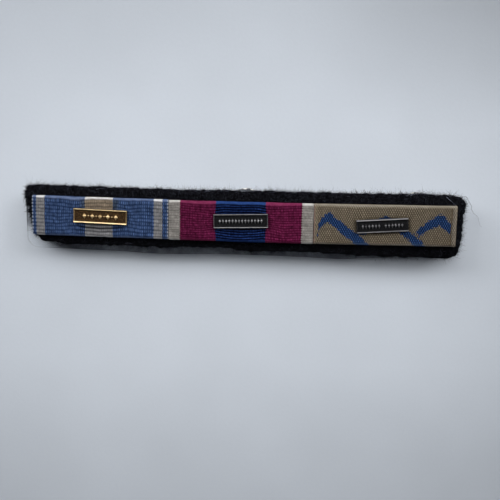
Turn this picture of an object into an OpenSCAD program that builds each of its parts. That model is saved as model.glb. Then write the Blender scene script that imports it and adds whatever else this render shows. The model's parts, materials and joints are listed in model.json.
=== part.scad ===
// Ribbon bar, lying face up: three woven ribbons, each wound on its own flat carrier, sit side by side
// on a hand-cut felt pad over a clear backing plate. A struck clasp is pinned through each ribbon, and
// a brooch pin is fixed behind the plate. +X runs along the bar, +Y to its upper edge, +Z to its face.

/* [Ribbons] */
// Width of the left ribbon, selvedge to selvedge
ribbon_left_w = 36.5; // [30:0.5:42]
// Width of the middle ribbon, selvedge to selvedge
ribbon_middle_w = 38; // [30:0.5:42]
// Width of the right ribbon, selvedge to selvedge
ribbon_right_w = 36.5; // [30:0.5:42]
// Height of a wound ribbon from its upper fold to its lower fold
ribbon_h = 10.7; // [9:0.1:14]
// Thickness of the woven ribbon
ribbon_t = 0.4; // [0.25:0.05:0.6]
// Space between neighbouring ribbons
ribbon_gap = 0.2; // [0.15:0.05:0.6]
// Space between a ribbon's two ends, behind its carrier
ribbon_seam = 2.4; // [1:0.2:4]

/* [Carriers] */
// Thickness of the flat bar inside each ribbon
carrier_t = 0.9; // [0.6:0.1:1.4]
// Distance from a ribbon's selvedge to the end of its carrier
carrier_inset = 0.6; // [0.2:0.1:1.5]

/* [Clasps] */
// Length of the longest clasp
clasp_l = 14.3; // [12:0.1:18]
// Height of the tallest clasp
clasp_h = 3.85; // [3.3:0.05:5]
// Thickness of a clasp's ground
clasp_ground_t = 0.4; // [0.3:0.05:0.6]
// Width of the rails along a clasp's long sides
clasp_rail_w = 0.5; // [0.3:0.05:0.6]
// Width of the rims at a clasp's two ends
clasp_rim_w = 0.35; // [0.2:0.05:0.6]
// Height of the rails and rims above the ground
clasp_rail_h = 0.4; // [0.2:0.05:0.6]
// Height of the raised ornament above the ground
ornament_h = 0.25; // [0.1:0.05:0.4]
// Width of one raised lozenge on the left clasp
lozenge_w = 1.3; // [0.8:0.1:1.6]
// Height of one raised lozenge on the left clasp
lozenge_h = 1.9; // [1:0.1:2.1]
// Diameter of one raised pellet
pellet_d = 0.5; // [0.3:0.05:0.6]
// Distance from one lozenge to the next on the left clasp
ornament_pitch = 2.1; // [1.9:0.1:2.4]
// Space between the ornament and a clasp's end rims, at the least
ornament_margin = 0.6; // [0.3:0.1:1.5]
// Diameter of the two posts behind each clasp
post_d = 0.9; // [0.6:0.1:1.2]
// Distance between a clasp's two posts
post_spacing = 8.6; // [6:0.2:9]

/* [Felt pad] */
// Thickness of the felt
felt_t = 2.5; // [1.5:0.1:3]
// Felt showing above the ribbons, at its widest
felt_top_margin = 2.7; // [1.5:0.1:5]
// Felt showing below the ribbons, at its widest
felt_bottom_margin = 3.25; // [1.5:0.05:5]
// Felt showing past the left ribbon, at its widest
felt_left_margin = 3; // [1.5:0.1:6]
// Felt showing past the right ribbon, at its widest
felt_right_margin = 2.5; // [1.5:0.1:6]

/* [Backing plate] */
// Thickness of the clear plate
plate_t = 1; // [0.8:0.1:2]
// Reach of the plate above the ribbons, at its two tabs
plate_top_margin = 3.2; // [2.5:0.05:6]
// Reach of the plate below the ribbons, at its widest
plate_bottom_margin = 4.6; // [2.5:0.1:7]
// Reach of the plate past the left ribbon
plate_left_margin = 3.3; // [1.5:0.1:7]
// Reach of the plate past the right ribbon
plate_right_margin = 1.5; // [1:0.1:7]
// Radius of the plate's corners
plate_corner_r = 3; // [1:0.1:4]

/* [Brooch pin] */
// Length of the strip fixed to the plate
pin_strip_l = 70; // [50:1:84]
// Width of the strip, the hinge block and the hook
pin_strip_w = 4.6; // [4:0.1:7]
// Thickness of the strip
pin_strip_t = 0.5; // [0.4:0.1:1]
// Height of the hinge block and the hook below the strip
pin_drop = 2.4; // [2.2:0.1:3.5]
// Length of the hinge block along the bar
hinge_l = 3.4; // [2.5:0.1:5]
// Length of the hook along the bar
hook_l = 3; // [2:0.1:4]
// Diameter of the pointed wire
wire_d = 0.9; // [0.7:0.05:1.1]
// Length of the wire's point
point_l = 3.2; // [2:0.1:5]

/* [Fits] */
// Space between pieces that lie on each other
seat_gap = 0.05; // [0.02:0.01:0.1]
// Space between a carrier and the ribbon round it
wind_gap = 0.05; // [0.02:0.01:0.1]
// Space all round a clasp's post in its holes
post_gap = 0.06; // [0.03:0.01:0.15]
// Space all round the wire inside the hook
hook_gap = 0.15; // [0.1:0.01:0.2]

/* [Hidden] */
$fn = 48;

LEFT = 0;
MIDDLE = 1;
RIGHT = 2;

// How each ribbon sits. Columns: tilt in degrees, shift up as a share of ribbon_h
RIBBON_SET = [[-0.43, 0.011], [-0.04, -0.012], [0.42, 0.002]];

// How each clasp sits on its ribbon. Columns: shift along as a share of the ribbon's width,
// shift up as a share of ribbon_h, turn in degrees, length as a share of clasp_l, height as a
// share of clasp_h
CLASP_SET = [[0.007, 0.028, -1.1, 1, 1], [0.002, 0.034, 1.95, 1, 0.975], [-0.018, -0.002, 3.8, 0.93, 0.91]];

// Raised ornament of each clasp. Columns: number of groups; width, height and pitch of a lozenge as
// shares of the left clasp's; 1 for pellets between the lozenges, or 0 for none
ORNAMENT_SET = [[1, 1, 1, 1, 1], [1, 0.42, 0.8, 0.4, 0], [2, 0.42, 0.72, 0.4, 0]];

// Felt edge along the row. Columns: place along as a share of half the row, share of the margin
FELT_TOP = [[-1, 1], [-0.88, 0.99], [-0.78, 0.96], [-0.63, 0.9], [-0.43, 0.86], [-0.3, 0.82],
            [-0.07, 0.89], [0.14, 0.92], [0.44, 0.9], [0.73, 0.94], [0.97, 0.95], [1, 0.9]];
FELT_BOTTOM = [[-0.99, 0.04], [-0.965, 0.28], [-0.92, 0.45], [-0.865, 0.67], [-0.79, 0.68],
               [-0.63, 0.7], [-0.4, 0.74], [-0.22, 0.68], [-0.07, 0.6], [0.02, 0.88],
               [0.3, 0.76], [0.43, 0.86], [0.66, 1], [0.97, 0.97]];
// Felt edge at the two ends. Columns: place up or down as a share of the pad's reach on that
// side of the row's middle, share of the margin
FELT_LEFT = [[0.99, 0.7], [0.7, 1], [0.6, 0.8], [0.38, 0.7], [0.12, 0.7], [-0.04, 0.57],
             [-0.24, 0.47], [-0.46, 0.27], [-0.6, 0.05]];
FELT_RIGHT = [[0.93, 0.5], [0.84, 0.8], [0.7, 1], [0.51, 0.96], [0.33, 0.76], [0.03, 0.68],
              [-0.32, 0.8], [-0.61, 0.68], [-0.79, 0.44], [-0.92, 0.1]];

// Plate edge along the row, with two low tabs that peep out above the felt. Columns as for the felt
PLATE_TOP = [[-1, 0.72], [-0.3, 0.66], [-0.045, 0.74], [0.02, 1], [0.085, 0.74], [0.5, 0.74],
             [0.77, 0.76], [0.817, 1], [0.865, 0.76], [1, 0.72]];
PLATE_BOTTOM = [[-1, 0.83], [-0.65, 0.89], [-0.4, 1], [0.03, 0.9], [0.25, 0.93], [0.48, 0.99],
                [0.62, 0.88], [0.83, 0.68], [1, 0.6]];
// Steps between two rows of an edge table, and in a rounded corner
EDGE_STEPS = 3;
CORNER_STEPS = 6;

ribbon_widths = [ribbon_left_w, ribbon_middle_w, ribbon_right_w];
row_w = ribbon_left_w + ribbon_middle_w + ribbon_right_w + 2 * ribbon_gap;
row_half = row_w / 2;
ribbon_x = [-row_half + ribbon_left_w / 2,
            -row_half + ribbon_left_w + ribbon_gap + ribbon_middle_w / 2,
            row_half - ribbon_right_w / 2];
half_h = ribbon_h / 2;
loop_t = carrier_t + 2 * (wind_gap + ribbon_t);

// Heights of the layers above the surface that the bar lies on
strip_z = pin_drop;
plate_z = strip_z + pin_strip_t + seat_gap;
felt_z = plate_z + plate_t + seat_gap;
loop_z = felt_z + felt_t + seat_gap;
carrier_z = loop_z + ribbon_t + wind_gap;
face_z = loop_z + loop_t;
clasp_z = face_z + seat_gap;

function eased(a, b, t) = a + (b - a) * (1 - cos(180 * t)) / 2;

// Points between the rows of a table, with place and share both eased along
function filled(rows) = [
    for (i = [0 : len(rows) - 2], k = [0 : EDGE_STEPS - 1])
        let (t = k / EDGE_STEPS)
        [rows[i][0] + (rows[i + 1][0] - rows[i][0]) * t, eased(rows[i][1], rows[i + 1][1], t)],
    rows[len(rows) - 1]
];
function reversed(list) = [for (i = [len(list) - 1 : -1 : 0]) list[i]];

// An upper or lower edge (side 1 or -1), and a left or right end (side -1 or 1)
function long_edge(rows, side, margin) = [
    for (row = filled(rows)) [row[0] * row_half, side * (half_h + row[1] * margin)]
];
function short_end(rows, side, margin, up, down) = [
    for (row = rows)
        [side * (row_half + row[1] * margin), row[0] * (half_h + (row[0] > 0 ? up : down))]
];

felt_outline = concat(
    long_edge(FELT_TOP, 1, felt_top_margin),
    short_end(FELT_RIGHT, 1, felt_right_margin, felt_top_margin, felt_bottom_margin),
    reversed(long_edge(FELT_BOTTOM, -1, felt_bottom_margin)),
    reversed(short_end(FELT_LEFT, -1, felt_left_margin, felt_top_margin, felt_bottom_margin))
);

// A rounded corner that ends an edge, turning clockwise from the start angle
function corner(x, y, start) = [
    for (k = [0 : CORNER_STEPS])
        let (a = start - 90 * k / CORNER_STEPS)
        [x + plate_corner_r * cos(a), y + plate_corner_r * sin(a)]
];
// The rows of an edge that lie clear of both rounded corners
function between_corners(points) = [
    for (p = points)
        if (p[0] > -plate_left_x + plate_corner_r && p[0] < plate_right_x - plate_corner_r) p
];
function last_share(rows) = rows[len(rows) - 1][1];

plate_left_x = row_half + plate_left_margin;
plate_right_x = row_half + plate_right_margin;
function plate_corner(side_x, side_y, share, margin, start) = corner(
    side_x < 0 ? -plate_left_x + plate_corner_r : plate_right_x - plate_corner_r,
    side_y * (half_h + share * margin - plate_corner_r), start);
plate_outline = concat(
    between_corners(long_edge(PLATE_TOP, 1, plate_top_margin)),
    plate_corner(1, 1, last_share(PLATE_TOP), plate_top_margin, 90),
    plate_corner(1, -1, last_share(PLATE_BOTTOM), plate_bottom_margin, 0),
    reversed(between_corners(long_edge(PLATE_BOTTOM, -1, plate_bottom_margin))),
    plate_corner(-1, -1, PLATE_BOTTOM[0][1], plate_bottom_margin, -90),
    plate_corner(-1, 1, PLATE_TOP[0][1], plate_top_margin, 180)
);

// Middle of the whole outline, which stands over the origin
all_x = [for (p = concat(felt_outline, plate_outline)) p[0]];
all_y = [for (p = concat(felt_outline, plate_outline)) p[1]];
mid_x = (min(all_x) + max(all_x)) / 2;
mid_y = (min(all_y) + max(all_y)) / 2;

module centred() {
    translate([-mid_x, -mid_y, 0]) children();
}

module at_ribbon(i, z) {
    centred()
        translate([ribbon_x[i], RIBBON_SET[i][1] * ribbon_h, z])
            rotate([0, 0, RIBBON_SET[i][0]])
                children();
}

// A clasp's place, in its ribbon's own frame
module at_clasp(i) {
    translate([CLASP_SET[i][0] * ribbon_widths[i], CLASP_SET[i][1] * ribbon_h, 0])
        rotate([0, 0, CLASP_SET[i][2]])
            children();
}

module at_posts() {
    for (side = [-1, 1])
        translate([side * post_spacing / 2, 0, 0]) children();
}

// A flat band with full round edges, lying in the plane of the bar's cross-section
module stadium(width, thick) {
    square([width - thick, thick], center = true);
    for (side = [-1, 1])
        translate([side * (width - thick) / 2, 0]) circle(d = thick);
}

// Stretches a cross-section along the bar
module along_bar(length) {
    rotate([90, 0, 90]) linear_extrude(height = length, center = true) children();
}

module post_holes(i, z, depth) {
    at_clasp(i) at_posts()
        translate([0, 0, z]) cylinder(d = post_d + 2 * post_gap, h = depth);
}

module carrier(i) {
    carrier_h = ribbon_h - 2 * (ribbon_t + wind_gap);
    at_ribbon(i, carrier_z) difference() {
        translate([0, 0, carrier_t / 2])
            along_bar(ribbon_widths[i] - 2 * carrier_inset) stadium(carrier_h, carrier_t);
        post_holes(i, -carrier_t, 3 * carrier_t);
    }
}

module ribbon(i) {
    at_ribbon(i, loop_z) difference() {
        translate([0, 0, loop_t / 2])
            along_bar(ribbon_widths[i]) difference() {
                stadium(ribbon_h, loop_t);
                stadium(ribbon_h - 2 * ribbon_t, loop_t - 2 * ribbon_t);
                translate([-ribbon_seam / 2, -loop_t])
                    square([ribbon_seam, loop_t]);
            }
        post_holes(i, loop_t / 2, loop_t);
    }
}

// One row of lozenges, with or without pellets between them
module ornament_row(count, wide, high, pitch, pellets) {
    for (k = [0 : count - 1])
        translate([(k - (count - 1) / 2) * pitch, 0, 0]) {
            linear_extrude(height = ornament_h)
                polygon([[wide / 2, 0], [0, high / 2], [-wide / 2, 0], [0, -high / 2]]);
            if (pellets && k < count - 1)
                translate([pitch / 2, 0, 0]) cylinder(d = pellet_d, h = ornament_h);
        }
}

module clasp(i) {
    length = CLASP_SET[i][3] * clasp_l;
    high = CLASP_SET[i][4] * clasp_h;
    groups = ORNAMENT_SET[i][0];
    pitch = ORNAMENT_SET[i][3] * ornament_pitch;
    count = floor((length - 2 * (clasp_rim_w + ornament_margin)) / groups / pitch);
    post_l = seat_gap + ribbon_t + wind_gap + carrier_t;
    at_ribbon(i, clasp_z) at_clasp(i) {
        difference() {
            translate([-length / 2, -high / 2, 0]) cube([length, high, clasp_ground_t + clasp_rail_h]);
            translate([-length / 2 + clasp_rim_w, -high / 2 + clasp_rail_w, clasp_ground_t])
                cube([length - 2 * clasp_rim_w, high - 2 * clasp_rail_w, 2 * clasp_rail_h]);
        }
        for (g = [0 : groups - 1])
            translate([(g - (groups - 1) / 2) * (count + 1) * pitch, 0, clasp_ground_t])
                ornament_row(count, ORNAMENT_SET[i][1] * lozenge_w, ORNAMENT_SET[i][2] * lozenge_h,
                             pitch, ORNAMENT_SET[i][4] == 1);
        at_posts()
            translate([0, 0, -post_l]) cylinder(d = post_d, h = post_l + clasp_ground_t / 2);
    }
}

module felt_pad() {
    color([0.05, 0.05, 0.06])
        centred() translate([0, 0, felt_z]) linear_extrude(height = felt_t) polygon(felt_outline);
}

module backing_plate() {
    color([0.8, 0.84, 0.88, 0.4])
        centred() translate([0, 0, plate_z]) linear_extrude(height = plate_t) polygon(plate_outline);
}

// A strip behind the plate with a hinge block at its left end and, at its right end, a hook that is
// open to one side and takes the pointed wire
module brooch_pin() {
    strip_half = pin_strip_l / 2;
    hinge_x = -strip_half + pin_strip_w / 2;
    hook_x = strip_half - hook_l - pin_strip_w / 2;
    wire_z = pin_drop / 2;
    wire_start = hinge_x + hinge_l / 2;
    slot = wire_d + 2 * hook_gap;
    color([0.78, 0.72, 0.55]) centred() {
        translate([0, 0, strip_z]) linear_extrude(height = pin_strip_t)
            stadium(pin_strip_l, pin_strip_w);
        translate([hinge_x, -pin_strip_w / 2, 0])
            cube([hinge_l, pin_strip_w, strip_z + pin_strip_t / 2]);
        difference() {
            translate([hook_x, -pin_strip_w / 2, 0])
                cube([hook_l, pin_strip_w, strip_z + pin_strip_t / 2]);
            translate([hook_x - hook_l, 0, wire_z]) {
                rotate([0, 90, 0]) cylinder(d = slot, h = 3 * hook_l);
                translate([0, 0, -slot / 2]) cube([3 * hook_l, pin_strip_w, slot]);
            }
        }
        translate([wire_start, 0, wire_z]) rotate([0, 90, 0]) {
            cylinder(d = wire_d, h = hook_x + hook_l - wire_start);
            translate([0, 0, hook_x + hook_l - wire_start])
                cylinder(d1 = wire_d, d2 = wire_d / 6, h = point_l);
        }
    }
}

module carrier_left() {
    color([0.72, 0.73, 0.74]) carrier(LEFT);
}

module carrier_middle() {
    color([0.72, 0.73, 0.74]) carrier(MIDDLE);
}

module carrier_right() {
    color([0.72, 0.73, 0.74]) carrier(RIGHT);
}

module ribbon_left() {
    color([0.36, 0.5, 0.75]) ribbon(LEFT);
}

module ribbon_middle() {
    color([0.7, 0.12, 0.36]) ribbon(MIDDLE);
}

module ribbon_right() {
    color([0.76, 0.7, 0.6]) ribbon(RIGHT);
}

module clasp_left() {
    color([0.8, 0.62, 0.3]) clasp(LEFT);
}

module clasp_middle() {
    color([0.55, 0.55, 0.54]) clasp(MIDDLE);
}

module clasp_right() {
    color([0.55, 0.55, 0.54]) clasp(RIGHT);
}

brooch_pin();
backing_plate();
felt_pad();
carrier_left();
carrier_middle();
carrier_right();
ribbon_left();
ribbon_middle();
ribbon_right();
clasp_left();
clasp_middle();
clasp_right();
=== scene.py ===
import json
import math

import bmesh
import bpy
import numpy as np
from mathutils import Matrix, Vector
from mathutils.geometry import delaunay_2d_cdt

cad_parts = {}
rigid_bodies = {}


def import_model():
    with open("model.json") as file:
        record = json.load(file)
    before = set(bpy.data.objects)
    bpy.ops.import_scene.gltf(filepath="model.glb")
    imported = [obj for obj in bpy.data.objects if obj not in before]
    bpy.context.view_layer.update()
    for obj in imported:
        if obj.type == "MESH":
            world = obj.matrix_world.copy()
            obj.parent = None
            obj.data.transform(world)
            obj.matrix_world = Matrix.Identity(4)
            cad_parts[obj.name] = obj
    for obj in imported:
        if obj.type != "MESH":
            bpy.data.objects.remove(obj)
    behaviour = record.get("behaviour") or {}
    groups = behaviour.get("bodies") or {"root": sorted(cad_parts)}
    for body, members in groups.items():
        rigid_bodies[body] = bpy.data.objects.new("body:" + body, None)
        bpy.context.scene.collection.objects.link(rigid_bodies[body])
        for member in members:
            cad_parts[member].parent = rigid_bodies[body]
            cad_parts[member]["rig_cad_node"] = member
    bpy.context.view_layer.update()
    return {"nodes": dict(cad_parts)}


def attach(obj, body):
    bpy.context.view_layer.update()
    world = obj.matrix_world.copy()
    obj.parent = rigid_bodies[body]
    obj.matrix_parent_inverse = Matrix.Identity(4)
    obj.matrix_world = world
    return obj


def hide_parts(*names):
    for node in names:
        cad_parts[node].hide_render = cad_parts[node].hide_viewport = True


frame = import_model()

MM = 0.001
TURN = 2 * math.pi
scene = bpy.context.scene

# The row's own sizes, in millimetres
ROW_PLACE = (0.4, 0.7)
RIBBON_H = 10.7
RIBBON_T = 0.4
LOOP_T = 1.8
LOOP_Z = 6.55
SEAM = 2.4
FACE_Z = LOOP_Z + LOOP_T
FACE_HALF = (RIBBON_H - LOOP_T) / 2
FOLD_L = math.pi * LOOP_T / 2
FACE_END = FACE_HALF + FOLD_L
PATH_HALF = FACE_END + FACE_HALF - SEAM / 2
CLASP_Z = FACE_Z + 0.05
FELT_Z = (4.0, 6.5)

# Places: middle along the row, width, shift up, turn in degrees; then the clasp's shift along and up,
# its turn, length and height
RIBBONS = {
    "left": dict(x=-37.45, wide=36.5, up=0.1177, turn=-0.43, clasp=(0.2555, 0.2996, -1.1, 14.3, 3.85)),
    "middle": dict(x=0.0, wide=38.0, up=-0.1284, turn=-0.04, clasp=(0.076, 0.3638, 1.95, 14.3, 3.754)),
    "right": dict(x=37.45, wide=36.5, up=0.0214, turn=0.42, clasp=(-0.657, -0.0214, 3.8, 13.299, 3.5035)),
}

# Camera
CAMERA_PLACE_MM = (14.146, 23.415, 188.431)
CAMERA_TURNS_DEG = (-9.501, 3.479, 1.698)


def make_camera():
    data = bpy.data.cameras.new("camera")
    data.lens = 50
    data.sensor_width = 36
    data.clip_start = 0.01
    camera = bpy.data.objects.new("camera", data)
    scene.collection.objects.link(camera)
    place = Matrix.Translation(Vector(CAMERA_PLACE_MM) * MM)
    for angle, axis in zip(CAMERA_TURNS_DEG, "XYZ"):
        place = place @ Matrix.Rotation(math.radians(angle), 4, axis)
    camera.matrix_world = place
    scene.camera = camera


# Noise and meshes
def lattice(ix, iy, seed):
    """A number from 0 to 1 for each whole place, by mixing its bits."""
    n = (ix * 374761393 + iy * 668265263 + seed * 144269504) & 0xFFFFFFFF
    n = ((n ^ (n >> 13)) * 1274126177) & 0xFFFFFFFF
    return ((n ^ (n >> 16)) & 0xFFFF) / 65535.0


def noise(x, y, seed):
    """Smooth noise from -1 to 1 with features one unit wide."""
    x, y = np.broadcast_arrays(np.asarray(x, float), np.asarray(y, float))
    ix, iy = np.floor(x).astype(np.int64), np.floor(y).astype(np.int64)
    fx, fy = x - ix, y - iy
    ux, uy = fx * fx * (3 - 2 * fx), fy * fy * (3 - 2 * fy)
    low = lattice(ix, iy, seed) * (1 - ux) + lattice(ix + 1, iy, seed) * ux
    high = lattice(ix, iy + 1, seed) * (1 - ux) + lattice(ix + 1, iy + 1, seed) * ux
    return 2 * (low * (1 - uy) + high * uy) - 1


def ripples(rows, x, y, seed):
    """Noise of several sizes. Each row: height, length along x, length along y."""
    return sum(height * noise(x / long, y / wide, seed + i) for i, (height, long, wide) in enumerate(rows))


def bell(x):
    return np.exp(-x * x)


def unit(v):
    return v / np.maximum(np.linalg.norm(v, axis=-1, keepdims=True), 1e-9)


def spaced(start, end, step):
    return np.linspace(start, end, max(2, int(round(abs(end - start) / step)) + 1))


def rows_of(*parts):
    """One row for each point, from its parts."""
    return np.stack(np.broadcast_arrays(*parts), -1).reshape(-1, len(parts))


def turn_of(degrees):
    return math.cos(math.radians(degrees)), math.sin(math.radians(degrees))


def turn_about(points, degrees):
    c, s = turn_of(degrees)
    x, y, z = points.T
    return rows_of(x * c - y * s, x * s + y * c, z)


def in_row(points, spec, z):
    """Points of a ribbon or its clasp, moved to their place in the row."""
    return turn_about(points, spec["turn"]) + [spec["x"] + ROW_PLACE[0], spec["up"] + ROW_PLACE[1], z]


def make_mesh(name, points, faces, values=None, tidy=True):
    """A smooth mesh from points in millimetres. values holds a number or a vector for each point."""
    mesh = bpy.data.meshes.new(name)
    mesh.from_pydata((np.asarray(points, float) * MM).tolist(), [], faces)
    for key, data in (values or {}).items():
        data = np.asarray(data, np.float32)
        kind, field = ("FLOAT_VECTOR", "vector") if data.ndim == 2 else ("FLOAT", "value")
        mesh.attributes.new(key, kind, "POINT").data.foreach_set(field, data.ravel())
    if tidy:
        work = bmesh.new()
        work.from_mesh(mesh)
        bmesh.ops.recalc_face_normals(work, faces=work.faces)
        work.to_mesh(mesh)
        work.free()
    mesh.shade_smooth()
    obj = bpy.data.objects.new(name, mesh)
    scene.collection.objects.link(obj)
    return obj


def grid_faces(ids, flip=False):
    a, b, c, d = ids[:-1, :-1], ids[1:, :-1], ids[1:, 1:], ids[:-1, 1:]
    quads = np.stack([a, d, c, b] if flip else [a, b, c, d], -1).reshape(-1, 4)
    return quads.tolist()


def zipped(first, second):
    """Triangles between two rows of points that run side by side."""
    faces, i, j = [], 0, 0
    m, n = len(first) - 1, len(second) - 1
    while i < m or j < n:
        if j == n or (i < m and (i + 1) / m <= (j + 1) / n):
            faces.append([first[i], first[i + 1], second[j]])
            i += 1
        else:
            faces.append([first[i], second[j + 1], second[j]])
            j += 1
    return faces


# Material graphs
class Graph:
    """A material built by plain calls. Colours are given as red, green and blue."""

    def __init__(self, name, **constants):
        self.material = bpy.data.materials.new(name)
        self.material.use_nodes = True
        self.tree = self.material.node_tree
        self.shader = self.tree.nodes["Principled BSDF"]
        self.end(**constants)

    def put(self, socket, value):
        if isinstance(value, bpy.types.NodeSocket):
            self.tree.links.new(value, socket)
        else:
            socket.default_value = (*value, 1.0) if socket.type == "RGBA" else value

    def node(self, kind, settings=None, **inputs):
        made = self.tree.nodes.new("ShaderNode" + kind)
        for key, value in (settings or {}).items():
            setattr(made, key, value)
        for key, value in inputs.items():
            self.put(made.inputs[key.replace("_", " ")], value)
        return made

    def fill(self, made, sockets, values, output=0):
        for socket, value in zip(sockets, values):
            self.put(socket, value)
        return made.outputs[output]

    def math(self, operation, *values):
        made = self.node("Math", {"operation": operation})
        return self.fill(made, made.inputs, values)

    def chain(self, operation, values):
        result = values[0]
        for value in values[1:]:
            result = self.math(operation, result, value)
        return result

    def times(self, *values):
        return self.chain("MULTIPLY", values)

    def plus(self, *values):
        return self.chain("ADD", values)

    def larger(self, *values):
        return self.chain("MAXIMUM", values)

    def minus(self, first, second):
        return self.math("SUBTRACT", first, second)

    def size(self, value):
        return self.math("ABSOLUTE", value)

    def scaled(self, value, factor, shift):
        return self.math("MULTIPLY_ADD", value, factor, shift)

    def step(self, value, length):
        return self.math("FLOOR", self.math("DIVIDE", value, length))

    def wave(self, value, length, shift=0.0):
        """A sine from 0 to 1 that repeats at that length."""
        return self.scaled(self.math("SINE", self.scaled(value, TURN / length, shift)), 0.5, 0.5)

    def between(self, value, low, high, start=0.0, end=1.0):
        made = self.node("MapRange", {"clamp": True})
        return self.fill(made, made.inputs, (value, low, high, start, end))

    def sway(self, value, spread, amount):
        """A factor round 1, from noise round 0.5."""
        return self.between(value, 0.5 - spread, 0.5 + spread, 1 - amount, 1 + amount)

    def mix(self, share, first, second, blend="MIX"):
        made = self.node("Mix", {"data_type": "RGBA", "blend_type": blend})
        return self.fill(made, (made.inputs[0], made.inputs[6], made.inputs[7]), (share, first, second), 2)

    def tint(self, colour, *shares):
        """A colour or vector times numbers."""
        made = self.node("VectorMath", {"operation": "SCALE"})
        return self.fill(made, (made.inputs[0], made.inputs["Scale"]), (colour, self.times(*shares)))

    def ramp(self, value, stops, interpolation="LINEAR"):
        made = self.node("ValToRGB", Fac=value)
        ramp = made.color_ramp
        ramp.interpolation = interpolation
        while len(ramp.elements) < len(stops):
            ramp.elements.new(1.0)
        for element, (place, _) in zip(ramp.elements, stops):
            element.position = place
        for element, (_, colour) in zip(ramp.elements, stops):
            element.color = (*colour, 1.0)
        return made.outputs[0]

    def attribute(self, name, output="Fac"):
        return self.node("Attribute", {"attribute_name": name}).outputs[output]

    def split(self, vector):
        return self.node("SeparateXYZ", Vector=vector).outputs

    def join(self, x, y, z=0.0):
        return self.node("CombineXYZ", X=x, Y=y, Z=z).outputs[0]

    def place(self):
        """The point in the row's frame, in millimetres."""
        return self.tint(self.node("NewGeometry").outputs["Position"], 1 / MM)

    def grain(self, vector, scale, detail=3.0, roughness=0.55):
        made = self.node("TexNoise", Vector=vector, Scale=scale, Detail=detail, Roughness=roughness)
        return made.outputs["Fac"]

    def stretched(self, parts, scales, detail=3.0, roughness=0.55):
        """Noise with its own scale along each part of a place."""
        return self.grain(self.join(*map(self.times, parts, scales)), 1.0, detail, roughness)

    def white(self, x, y):
        return self.node("TexWhiteNoise", {"noise_dimensions": "2D"}, Vector=self.join(x, y)).outputs["Value"]

    def bump(self, height, distance_mm, strength=1.0):
        made = self.node("Bump", Height=height, Strength=strength, Distance=distance_mm * MM)
        self.put(self.shader.inputs["Normal"], made.outputs[0])

    def end(self, **sockets):
        """Sets the shader's own sockets and gives the material."""
        for key, value in sockets.items():
            self.put(self.shader.inputs[key.replace("_", " ")], value)
        return self.material


def dress(obj, material):
    obj.data.materials.clear()
    obj.data.materials.append(material)
    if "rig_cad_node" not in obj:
        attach(obj, "root")


# Ribbons
STRIPES = {
    "left": [("blue", 1.1), ("white", 2.3), ("blue", 11.0), ("white", 7.4), ("blue", 10.9), ("white", 2.3),
             ("blue", 1.5)],
    "middle": [("white", 3.1), ("crimson", 9.4), ("navy", 13.1), ("crimson", 9.5), ("white", 2.9)],
}
# Each yarn on the tops of the ribs, in the grooves between them darkened as painted shade, and under the
# painted highlight on the fold
YARNS = {
    "left": dict(blue=((0.0425, 0.0738, 0.165), (0.0148, 0.0295, 0.076), (0.14, 0.185, 0.315)),
                 white=((0.208, 0.208, 0.216), (0.104, 0.104, 0.113), (0.8, 0.8, 0.82))),
    "middle": dict(white=((0.245, 0.232, 0.22), (0.17, 0.16, 0.148), (0.61, 0.6, 0.58)),
                   crimson=((0.108, 0.012, 0.0465), (0.043, 0.0016, 0.0145), (0.212, 0.032, 0.089)),
                   navy=((0.0086, 0.0208, 0.083), (0.0001, 0.0003, 0.0025), (0.0255, 0.066, 0.23))),
}
# Ribs: distance from one to the next, height, and steps across one. Then how far beyond the end of the
# flat face the fold's painted highlight begins, how strong the painted highlight on the lower fold is, and
# how dark the painted contact shadow beside the clasp is
CLOTHS = {
    "left": dict(pitch=0.935, rib_h=0.05, steps=8, fold_at=0.06, lit_below=0.6, shade_depth=0.18),
    "middle": dict(pitch=0.64, rib_h=0.05, steps=8, fold_at=-0.08, lit_below=0.6, shade_depth=0.3),
    "right": dict(pitch=0.6, rib_h=0.02, steps=5, fold_at=0.02, lit_below=0.95, shade_depth=0.6),
}
# Striped cloth: a yarn's width, how far the stripes' edges wave, how much painted light pales the right end,
# how strongly threads, flecks and specks show, and the colour of the selvedge's loops
STRIPED = {
    "left": dict(yarn=0.565, wavy=0.26, right_end_lit=1.06, thread=1.25, fleck=0.4, speck=0.32,
                 loops=(0.36, 0.39, 0.45)),
    "middle": dict(yarn=0.42, wavy=0.44, right_end_lit=1.13, thread=0.95, fleck=0.42, speck=0.28,
                   loops=(0.24, 0.225, 0.215)),
}
SPECK_WIDE = 0.31
CONTACT_SHADE_WIDE = 0.9
# Painted reflection: the gilt clasp's warm light on the cloth above it
GILT_REFLECTION_TINT = (1.12, 0.90, 0.64)

# Spacing of a ribbon's points, in millimetres
COLUMN = 0.3
BACK_STEP = 0.3
INNER_STEPS = (0.5, 1.0)
EDGE_COLUMNS = np.array([0.0, 0.05, 0.13, 0.24])
EDGE_WIDE = 0.4
SELVEDGE_OUT = 0.06
# How high on its ribs the cloth's inner side counts as
INNER_RIB = 0.7
# How the wound cloth lies: ribs wander, are drawn in beside the clasp and lean there
WANDER = [(0.18, 5.5, 4.0), (0.06, 1.9, 1.3)]
DRAWN_IN = 0.42
LEAN = 0.22
# The clasp sinks into the cloth, which dips beside it too
SUNK_BELOW, SUNK_BESIDE = 0.045, 0.085
PRESSED_WIDE = 0.25
STANDS_OUT = (-0.28, 0.045)

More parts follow.
